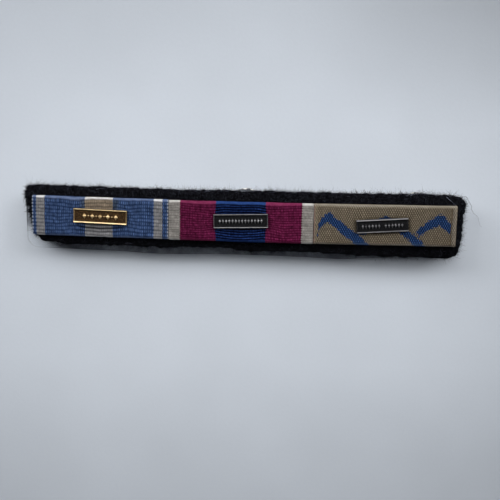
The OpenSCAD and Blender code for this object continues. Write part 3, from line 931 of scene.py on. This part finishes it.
def make_hairs(rim, normal):
    """Hairs that lie over the top, longer ones that stand out, pale ones, and a few single strays."""
    fleece = Fleece(43)
    draw = fleece.draw
    high = FELT_Z[1]
    spots = rows_of(*(draw.uniform(lo, hi, TOP_HAIRS * 6) for lo, hi in zip(rim.min(0), rim.max(0))))
    spots = spots[within(spots, rim - normal * 0.5) & (under_ribbons(*spots.T) < -0.15)][:TOP_HAIRS]
    count = len(spots)
    start = np.column_stack([spots, np.full(count, high - 0.07)])
    around = draw.uniform(0, TURN, count)
    heading = rows_of(np.cos(around), np.sin(around), draw.uniform(0.05, 0.5, count))
    length = draw.gamma(3.0, 0.25, count).clip(0.25, 2.0)
    fleece.strew(start, heading, length, thick=(0.010, 0.016), curl=(0.15, 0.7), pale=(0.0, 1.0, 4, 6.0))

    # Longer hairs that stand out from the upper edge and the two ends
    count = LONG_HAIRS
    pick = draw.choice(np.flatnonzero((normal[:, 1] > 0.3) | (np.abs(normal[:, 0]) > 0.6)), count)
    start, heading = fringe(rim, normal, pick, draw.uniform(0.1, 0.5, count),
                            draw.uniform(high - 1.6, high - 0.15, count), (0.4, 1.3), 0.8, draw)
    heading[:, 2] = draw.uniform(-0.3, 0.4, count)
    length = draw.gamma(3.0, 0.27, count).clip(0.3, 2.2)
    fleece.strew(start, heading, length, thick=(0.018, 0.030), curl=(0.15, 0.7), pale=(0.1, 1.0, 2, 3.4))

    # Longer pale hairs, most of them along the upper edge
    count = PALE_HAIRS
    pick = np.where(draw.uniform(0, 1, count) < 0.7, draw.choice(np.flatnonzero(normal[:, 1] > 0.5), count),
                    draw.integers(0, len(rim), count))
    start, heading = fringe(rim, normal, pick, draw.uniform(0.0, 0.6, count),
                            draw.uniform(high - 1.0, high - 0.1, count), (0.1, 0.8), 1.2, draw)
    heading[:, 2] = 0.25
    length = draw.uniform(0.9, 2.8, count)
    fleece.strew(start, heading, length, thick=(0.013, 0.02), curl=(0.2, 0.8), pale=(3, 16, 1, 1), steps=8)

    start, heading, length, curl, tone = map(np.array, zip(*STRAYS))
    fleece.add(*hairs(start, heading, length, np.full(len(start), STRAY_R), curl, draw, STRAY_STEPS), tone)
    path = np.array(LONG_STRAY)
    run = np.concatenate([[0], np.cumsum(np.linalg.norm(np.diff(path, axis=0), axis=1))])
    t = np.linspace(0, run[-1], LONG_STRAY_STEPS + 1)
    line = np.stack([np.interp(t, run, path[:, axis]) for axis in range(3)], -1)
    upright = np.array([[0.0, 0.0, 1.0]])
    fleece.add(*tapered_tubes(line[None], upright, np.array([LONG_STRAY_R])), np.array([LONG_STRAY_TONE]))
    return fleece.mesh("felt_pad_hairs")


def felt_material():
    g = Graph("felt", Sheen_Weight=0.0, Specular_IOR_Level=0.01)
    place = g.place()
    clumps = g.grain(place, 0.9, 4.0, 0.65)
    fine = g.grain(place, 5.0, 4.0, 0.7)
    flecks = g.math("POWER", g.grain(place, 2.6, 2.0), 6.0)
    tufts = g.between(g.grain(place, 2.1, 3.0, 0.6), 0.38, 0.68)
    colour = g.tint(g.mix(tufts, (0.0003, 0.0004, 0.001), (0.012, 0.0126, 0.017)), g.sway(clumps, 0.15, 0.5))
    colour = g.mix(g.times(flecks, 1.8), colour, (0.045, 0.046, 0.055))
    # Painted shadow of the ribbons: darker below them
    _, y, _ = g.split(place)
    colour = g.tint(colour, g.sway(fine, 0.3, 0.5), g.between(y, -4.0, -5.5, 1.0, 0.5))
    g.bump(g.plus(fine, g.times(clumps, 0.6)), 0.16, 0.9)
    return g.end(Base_Color=colour, Roughness=0.95)


def hair_material():
    g = Graph("felt_hair", Specular_IOR_Level=0.06, Roughness=0.7)
    shade = g.sway(g.grain(g.place(), 0.7, 2.0), 0.2, 0.3)
    return g.end(Base_Color=g.tint((0.0215, 0.0228, 0.03), g.attribute("tone"), shade))


# Clasps
GROUND_T = 0.4
RAIL_H = 0.4
UPPER_RAIL_W = 0.4
ORNAMENT_H = 0.25
ORNAMENT_MARGIN = 0.6
ORNAMENT_SLOPE = 1.1
PELLET_R = 0.25
CLASP_CELL = 0.056
CORNER_R = 0.22
POST_R, POSTS_APART, POST_L, POST_SIDES = 0.45, 8.6, 1.4, 20
STIPPLE = [(0.022, 0.13, 0.13), (0.012, 0.3, 0.3)]
DENTS = [(0.07, 0.8, 1 / 3), (0.05, 0.25, 1 / 3)]
# Per clasp: the lower rail's width, both rails' slopes, how round the upper one is, and how clean the
# upper rail, the lower rail and the field are
RAILS = {
    "left": dict(lower_w=0.5, slopes=(0.32, 0.0), round=2.0, clean=(0.93, 1.0, 0.97)),
    "middle": dict(lower_w=0.36, slopes=(0.08, 0.0), round=2.0, clean=(0.76, 0.8, 0.92)),
    "right": dict(lower_w=0.4, slopes=(0.0, 0.25), round=4.0, clean=(1.0, 0.72, 0.72)),
}
# Per clasp: the rims' width and height, groups of lozenges, a lozenge's width, height and pitch, and
# whether pellets stand between them
ORNAMENTS = {
    "left": dict(rim=0.3, rim_h=0.2, groups=1, wide=1.3, high=1.9, pitch=2.1, pellets=True),
    "middle": dict(rim=0.3, rim_h=0.3, groups=1, wide=0.72, high=1.9, pitch=0.84, pellets=False),
    "right": dict(rim=0.35, rim_h=0.12, groups=2, wide=0.72, high=1.75, pitch=0.84, pellets=False),
}
# Per metal: its colour in the dark ground, half rubbed and rubbed bright, and its roughness when bright
METALS = {
    "gilt": ((0.022, 0.0105, 0.004), (0.265, 0.153, 0.058), (0.88, 0.67, 0.375), 0.33),
    "oxidised_silver": ((0.0035, 0.0038, 0.005), (0.034, 0.0345, 0.0385), (0.3, 0.297, 0.312), 0.35),
}


def ornament(key, x, y, length, seed):
    """Raised lozenges, and pellets between them, from 0 to 1."""
    look = ORNAMENTS[key]
    pitch = look["pitch"]
    relief = np.zeros_like(x)
    count = math.floor((length - 2 * (look["rim"] + ORNAMENT_MARGIN)) / look["groups"] / pitch)
    for group in range(look["groups"]):
        middle = (group - (look["groups"] - 1) / 2) * (count + 1) * pitch
        for k in range(count):
            cx = middle + (k - (count - 1) / 2) * pitch
            wear_and_highlight = 1 - 0.25 * abs(float(noise(cx * 2.3, seed, seed + 7)))
            inside = 1 - (np.abs(x - cx) / (look["wide"] / 2) + np.abs(y) / (look["high"] / 2))
            # A plateau whose upper half slopes to the light
            shape = np.minimum(inside * 3.2, 1) - ORNAMENT_SLOPE * np.maximum(y, 0)
            relief = np.maximum(relief, np.clip(shape, 0, 1) * wear_and_highlight)
            if look["pellets"] and k < count - 1:
                r = np.hypot(x - cx - pitch / 2, y) / PELLET_R
                relief = np.maximum(relief, np.sqrt(np.clip(1 - r * r, 0, 1)) * wear_and_highlight)
    return relief


def ridge(height, place, wide, top, roundness, slope=0.0):
    """Raises a worn ridge round the line where place is 0."""
    t = place / (wide / 2)
    shape = np.clip(1 - np.abs(t) ** roundness, 0, 1) ** 0.5 - slope * (t + 1) / 2
    return np.maximum(height, np.where(np.abs(t) < 1, GROUND_T * 0.9 + top * shape, 0))


def clasp_height(key, x, y, length, high, seed):
    """Height of the struck face over its underside."""
    rails, rims = RAILS[key], ORNAMENTS[key]
    stipple = ripples(STIPPLE, x, y, seed)
    height = GROUND_T + stipple
    height = np.maximum(height, GROUND_T + ORNAMENT_H * ornament(key, x, y, length, seed) + stipple * 0.3)
    dents = 1 - ripples(DENTS, x, y, seed + 2)
    # The upper rail is worn round, the lower one flat and a little sloping
    for sign, wide, roundness in ((-1, rails["lower_w"], 4.0), (1, UPPER_RAIL_W, rails["round"])):
        t = y - sign * (high / 2 - wide / 2)
        slope = rails["slopes"][sign > 0]
        height = ridge(height, t, wide, (RAIL_H + 0.04) * dents, roundness, slope)
        u = x - sign * (length / 2 - rims["rim"] / 2)
        height = ridge(height, u, rims["rim"], rims["rim_h"] * dents, 2.6)
    return np.minimum(height, GROUND_T + RAIL_H)


def make_clasp(key, seed):
    spec = RIBBONS[key]
    cx, cy, turn, length, high = spec["clasp"]
    y, x = np.meshgrid(spaced(-high / 2, high / 2, CLASP_CELL), spaced(-length / 2, length / 2, CLASP_CELL),
                       indexing="ij")
    z = clasp_height(key, x, y, length, high, seed)
    # Corners and outer edges are rubbed round
    flat = np.array([length, high]) / 2 - CORNER_R
    ax, ay = (np.abs(x) - flat[0]) / CORNER_R, (np.abs(y) - flat[1]) / CORNER_R
    corner = (ax > 0) & (ay > 0)
    shrink = np.where(corner, np.maximum(ax, ay) / np.maximum(np.hypot(ax, ay), 1e-9), 1)
    round_x, round_y = (np.where(corner, np.sign(v) * (straight + a * shrink * CORNER_R), v)
                        for v, straight, a in ((x, flat[0], ax), (y, flat[1], ay)))
    from_rim = np.minimum(length / 2 - np.abs(x), high / 2 - np.abs(y))
    z = np.where(from_rim < 1e-6, np.minimum(z, GROUND_T * 0.8), z)
    face = rows_of(round_x, round_y, z)
    ids = np.arange(len(face)).reshape(x.shape)
    ring = np.concatenate([ids[0, :-1], ids[:-1, -1], ids[-1, :0:-1], ids[:0:-1, 0]])
    low = len(face) + np.arange(len(ring))
    faces = grid_faces(ids) + grid_faces(np.stack([np.append(low, low[0]), np.append(ring, ring[0])]))
    faces.append(low[::-1].tolist())
    points = [face, face[ring] * (1, 1, 0)]
    total = len(face) + len(ring)
    # Two posts behind, with tapered ends
    n = POST_SIDES
    a = np.arange(n) * TURN / n
    for sign in (-1, 1):
        for level, share in ((0.0, 1.0), (-POST_L + 0.1, 1.0), (-POST_L, 0.8)):
            r = POST_R * share
            points.append(rows_of(r * np.cos(a) + sign * POSTS_APART / 2, r * np.sin(a), level))
        rows = total + np.arange(3 * n).reshape(3, n)
        faces += grid_faces(np.column_stack([rows, rows[:, 0]]), flip=True)
        faces += [rows[2].tolist(), rows[0, ::-1].tolist()]
        total += 3 * n
    points = np.vstack(points)
    raised = np.full(len(points), 0.6)
    upper, lower, field = RAILS[key]["clean"]
    clean = np.where(y > RAILS[key]["lower_w"] - high / 2, field, lower)
    clean = np.where(y > high / 2 - UPPER_RAIL_W, upper, clean)
    raised[:len(face)] = (np.clip((z - GROUND_T * 0.95) / (RAIL_H * 0.8), 0, 1) * clean).ravel()
    points = in_row(turn_about(points, turn) + [cx, cy, 0], spec, CLASP_Z)
    obj = make_mesh("clasp_" + key + "_struck", points, faces, {"raised": raised})
    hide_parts("clasp_" + key)
    return obj


def struck_metal(name):
    g = Graph(name, Specular_IOR_Level=0.26)
    dark, mid, bright, gloss = METALS[name]
    place = g.place()
    soil = g.grain(place, 3.2, 4.0, 0.7)
    fine = g.grain(place, 12.0, 3.0, 0.6)
    rubbed = g.plus(g.attribute("raised"), g.scaled(soil, 0.9, -0.45))
    clean = g.between(rubbed, 0.25, 0.85)
    colour = g.mix(clean, g.mix(g.between(rubbed, 0.02, 0.4), dark, mid), bright)
    g.bump(g.plus(g.times(soil, 0.5), g.times(fine, 0.5)), 0.03, 0.6)
    rough = g.plus(g.between(clean, 0.0, 1.0, 0.62, gloss), g.scaled(fine, 0.2, -0.1))
    return g.end(Base_Color=colour, Roughness=rough, Metallic=g.between(rubbed, 0.05, 0.4, 0.55, 1.0))


# What stays as the CAD has it
# Painted shade: a smoky tint under the felt stands in for its shadow, fading out slantwise towards the lower
# left corner
SHADE_SLANT = 1.3
SHADE_FROM, SHADE_TO = -65.6, -60.0
# Painted glints on the tabs' cut edges, as white spots: where each lies, how wide and high it is, and
# from which level up
TAB_GLINTS = [(1.15, 9.13), (3.2, 8.93), (45.0, 9.08)]
GLINT_SIZE = (0.62, 0.28)
GLINT_Z = (3.68, 3.78)


def clear_plastic():
    """Clear at the lower left corner, with painted shade as a smoky tint elsewhere under the felt,
    and polished tabs with painted glints.
    """
    g = Graph("clear_plastic", IOR=1.49, Coat_IOR=3.5, Coat_Roughness=0.1)
    place = g.place()
    x, y, z = g.split(place)
    smears = g.grain(place, 0.35, 4.0, 0.6)
    scratches = g.stretched((x, y, z), (0.35, 6.0, 1.0), 3.0, 0.7)
    painted_shade = g.between(g.plus(x, g.times(y, SHADE_SLANT)), SHADE_FROM, SHADE_TO)
    clear = g.mix(smears, (0.90, 0.93, 0.95), (0.96, 0.97, 0.98))
    shade_tint = g.mix(g.between(smears, 0.3, 0.7), (0.34, 0.34, 0.37), (0.74, 0.75, 0.78))
    # The painted shade is darker towards the left, and darker still on the tabs' tops, painted as the dark
    # felt seen in them
    shade_tint = g.tint(shade_tint, g.between(y, 7.8, 8.5, 1.0, 0.15), g.between(x, -45.0, -38.0, 0.5, 1.0))
    rough = g.plus(g.between(smears, 0.35, 0.7, 0.05, 0.22), g.between(scratches, 0.6, 0.8, 0.0, 0.15))
    # Painted glints: white spots on the tabs' cut edges
    glints = []
    for glint_x, glint_y in TAB_GLINTS:
        along = g.math("DIVIDE", g.minus(x, glint_x), GLINT_SIZE[0])
        up = g.math("DIVIDE", g.minus(y, glint_y), GLINT_SIZE[1])
        glints.append(g.between(g.plus(g.times(along, along), g.times(up, up)), 0.8, 1.2, 1.0, 0.0))
    glints = g.times(g.larger(*glints), g.between(z, *GLINT_Z))
    off_glint = g.minus(1.0, glints)
    seen = g.plus(g.times(painted_shade, 0.72), g.between(y, -5.5, -4.5, 0.22, 0.03))
    colour = g.mix(glints, g.mix(painted_shade, clear, shade_tint), (0.96, 0.96, 0.94))
    g.bump(g.plus(scratches, smears), 0.02, 0.5)
    return g.end(Base_Color=colour, Roughness=g.larger(rough, g.times(glints, 0.5)),
                 Alpha=g.larger(seen, glints), Transmission_Weight=off_glint,
                 Coat_Weight=g.times(g.between(y, 8.6, 8.9), off_glint))


def plain_metal(name, base, dull, rough_low, rough_high):
    g = Graph(name, Metallic=1.0)
    place = g.place()
    brushed = g.stretched(g.split(place), (0.25, 7.0, 7.0), 4.0, 0.65)
    tarnish = g.grain(place, 0.35, 4.0, 0.6)
    colour = g.mix(g.between(tarnish, 0.4, 0.75), base, dull)
    colour = g.tint(colour, g.between(brushed, 0.2, 0.8, 0.86, 1.1))
    rough = g.between(g.plus(brushed, tarnish), 0.7, 1.4, rough_low, rough_high)
    g.bump(brushed, 0.012, 0.7)
    return g.end(Base_Color=colour, Roughness=rough)


def eased_edges(obj, width_mm, degrees=38):
    weld = obj.modifiers.new("weld", "WELD")
    weld.merge_threshold = 0.002 * MM
    bevel = obj.modifiers.new("edges", "BEVEL")
    bevel.width = width_mm * MM
    bevel.segments = 2
    bevel.limit_method = "ANGLE"
    bevel.angle_limit = math.radians(degrees)
    bevel.harden_normals = False


# Studio
FLOOR_HALF_MM = 700.0
# Rows of panes: how high each stands in degrees, and its share of the light
PANES = ((34, 0.21), (44, 0.265), (54, 0.31), (64, 0.095), (74, 0.175))
PANE_SIDE_DEG = -12.0
PANE_AWAY_MM = 450.0
PANE_HIGH_MM = 200.0
# The lower rows are wide, in columns: shift for each unit of height, and share of the row
PANE_COLUMNS = ((-1.52, 0.16), (-0.76, 0.16), (0.0, 0.24), (0.76, 0.20), (1.52, 0.24))
COLUMN_STEP = 0.76
WIDE_BELOW_DEG = 60
PANE_AIM_MM = (-12.0, -5.0, 0.0)
PANE_SPREAD = 0.26
PANE_COLOUR = (1.0, 0.99, 0.975)
WINDOW_WATTS = 0.1722
ROOM_LIGHT = 0.036
ROOM_COLOUR = (0.84, 0.90, 1.0, 1.0)


def make_floor():
    g = Graph("floor", Roughness=0.72, Specular_IOR_Level=0.25)
    place = g.place()
    fine = g.grain(place, 1.1, 4.0, 0.6)
    broad = g.grain(place, 0.03, 2.0, 0.5)
    colour = g.mix(fine, (0.655, 0.710, 0.790), (0.685, 0.742, 0.822))
    # Painted light and shade: a little paler behind and to the right of the bar, and darker far behind it and
    # far in front
    x, y, _ = g.split(place)
    right = g.times(g.between(x, 15.0, 62.0), g.plus(g.between(y, 25.0, 56.0, 0.03, -0.24),
                                                     g.between(y, -60.0, -30.0, -0.02, 0.0)))
    colour = g.tint(colour, g.sway(broad, 0.2, 0.03), g.plus(g.between(y, -12.0, 4.0, 1.0, 1.06), right),
                    g.between(y, -66.0, -40.0, 0.92, 1.0), g.between(y, 30.0, 56.0, 1.0, 0.93))
    g.bump(fine, 0.05, 0.5)
    half = FLOOR_HALF_MM
    corners = [(-half, -half, 0), (half, -half, 0), (half, half, 0), (-half, half, 0)]
    obj = make_mesh("floor", corners, [[0, 1, 2, 3]], tidy=False)
    obj.data.materials.append(g.end(Base_Color=colour))


def make_pane(back, wide_mm, watts):
    data = bpy.data.lights.new("pane", "AREA")
    data.shape = "RECTANGLE"
    data.size = wide_mm * MM
    data.size_y = PANE_HIGH_MM * MM
    # The floor gets the same light from a pane further away
    data.spread = 2 * math.atan(PANE_SPREAD / back.length)
    data.energy = watts * back.length
    data.color = PANE_COLOUR
    pane = bpy.data.objects.new("pane", data)
    scene.collection.objects.link(pane)
    place = (Vector(PANE_AIM_MM) + back * PANE_AWAY_MM) * MM
    pane.matrix_world = Matrix.Translation(place) @ back.to_track_quat("Z", "Y").to_matrix().to_4x4()


def make_lights():
    """A tall window above the bar's upper edge, as panes one over the other, and the room's own light."""
    aside = math.radians(PANE_SIDE_DEG)
    for rise, share in PANES:
        up = math.radians(rise)
        middle = Vector((math.sin(aside) * math.cos(up), math.cos(aside) * math.cos(up), math.sin(up)))
        for shift, part in PANE_COLUMNS if rise < WIDE_BELOW_DEG else ((0.0, 1.0),):
            back = middle + Vector((shift * math.sin(up), 0, 0))
            make_pane(back, COLUMN_STEP * math.sin(up) * PANE_AWAY_MM, WINDOW_WATTS * share * part)
    world = bpy.data.worlds.new("world")
    world.use_nodes = True
    background = world.node_tree.nodes["Background"]
    background.inputs["Color"].default_value = ROOM_COLOUR
    background.inputs["Strength"].default_value = ROOM_LIGHT
    scene.world = world


# Making it
make_camera()
scene.view_settings.view_transform = "Standard"
scene.view_settings.look = "None"

for number, key in enumerate(RIBBONS):
    cloth = wound_ribbon(key, 100 + 20 * number)
    dress(cloth, zigzag_cloth() if key == "right" else striped_cloth(key))

felt, felt_rim, felt_normal = make_felt()
dress(felt, felt_material())
fleece = [make_fuzz(felt_rim, felt_normal), make_hairs(felt_rim, felt_normal)]
wool = hair_material()
for piece in fleece:
    dress(piece, wool)

metals = {name: struck_metal(name) for name in METALS}
for number, (key, name) in enumerate(zip(RIBBONS, ("gilt", "oxidised_silver", "oxidised_silver"))):
    dress(make_clasp(key, 300 + 10 * number), metals[name])

nodes = frame["nodes"]
dress(nodes["backing_plate"], clear_plastic())
eased_edges(nodes["backing_plate"], 0.25, 60)
pin = plain_metal("pin_metal", (0.62, 0.61, 0.58), (0.34, 0.32, 0.29), 0.22, 0.42)
dress(nodes["brooch_pin"], pin)
eased_edges(nodes["brooch_pin"], 0.08)
mill = plain_metal("carrier_metal", (0.70, 0.71, 0.72), (0.5, 0.5, 0.5), 0.28, 0.5)
for key in RIBBONS:
    dress(nodes["carrier_" + key], mill)

make_floor()
make_lights()

bpy.context.view_layer.update()
